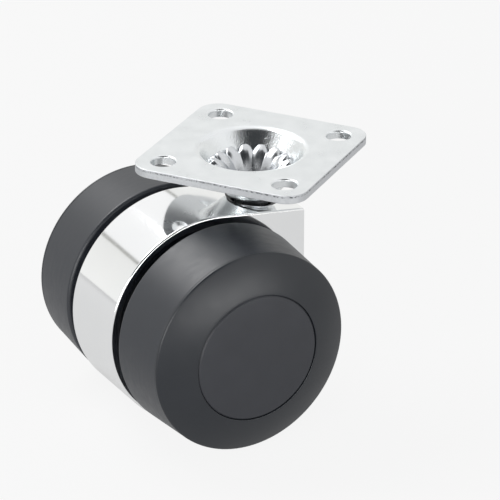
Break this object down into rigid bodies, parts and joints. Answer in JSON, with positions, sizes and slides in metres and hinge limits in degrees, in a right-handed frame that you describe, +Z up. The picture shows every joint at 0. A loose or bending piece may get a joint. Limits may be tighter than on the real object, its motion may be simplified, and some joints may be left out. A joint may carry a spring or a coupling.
{
  "type": "swivel castor",
  "caption": "Twin-wheel furniture castor with a polished hood between the wheels, swivelling on a pin staked to a square screw-on plate; the castor pulls off the pin.",
  "frame": {"origin": "centre of the mounting plate's top face, on the swivel axis", "axes": "+Z up along the swivel axis, +X from the axle towards the socket block, Y along the axle with the near wheel at -Y"},
  "size_m": [0.0692, 0.0644, 0.0602],
  "materials": {
    "zinc_plated_sheet": "bright zinc plate on pressed sheet steel",
    "turned_steel": "bright turned steel",
    "blackened_spring_steel": "oil-blackened spring steel",
    "black_acetal": "moulded black plastic",
    "chrome_plate": "polished die-casting with bright chrome plate",
    "natural_nylon": "natural nylon",
    "moulded_wheel_plastic": "smooth dark grey moulded plastic",
    "soft_tread": "satin grey soft tread"
  },
  "bodies": {
    "plate": {"mounting_plate": "zinc_plated_sheet", "stem_pin": "turned_steel"},
    "ring": {"snap_ring": "blackened_spring_steel"},
    "castor": {"socket_sleeve": "black_acetal", "housing": "chrome_plate", "axle": "turned_steel", "spacer_near": "natural_nylon", "spacer_far": "natural_nylon", "hub_washer_near": "turned_steel", "hub_washer_far": "turned_steel", "axle_clip_near": "blackened_spring_steel", "axle_clip_far": "blackened_spring_steel"},
    "near_wheel": {"wheel_core_near": "moulded_wheel_plastic", "wheel_tread_near": "soft_tread", "dust_cover_near": "black_acetal", "hub_cap_near": "moulded_wheel_plastic"},
    "far_wheel": {"wheel_core_far": "moulded_wheel_plastic", "wheel_tread_far": "soft_tread", "dust_cover_far": "black_acetal", "hub_cap_far": "moulded_wheel_plastic"}
  },
  "joints": [
    {"name": "swivel", "type": "hinge", "parent": "plate", "child": "ring", "pos_m": [0, 0, 0], "axis": [0, 0, 1], "continuous": true},
    {"name": "pull_off", "type": "slide", "parent": "ring", "child": "castor", "axis": [0, 0, -1], "range_m": [0, 0.03]},
    {"name": "near_wheel_spin", "type": "hinge", "parent": "castor", "child": "near_wheel", "pos_m": [-0.0166, 0, -0.03528], "axis": [0, 1, 0], "continuous": true},
    {"name": "far_wheel_spin", "type": "hinge", "parent": "castor", "child": "far_wheel", "pos_m": [-0.0166, 0, -0.03528], "axis": [0, 1, 0], "continuous": true}
  ]
}
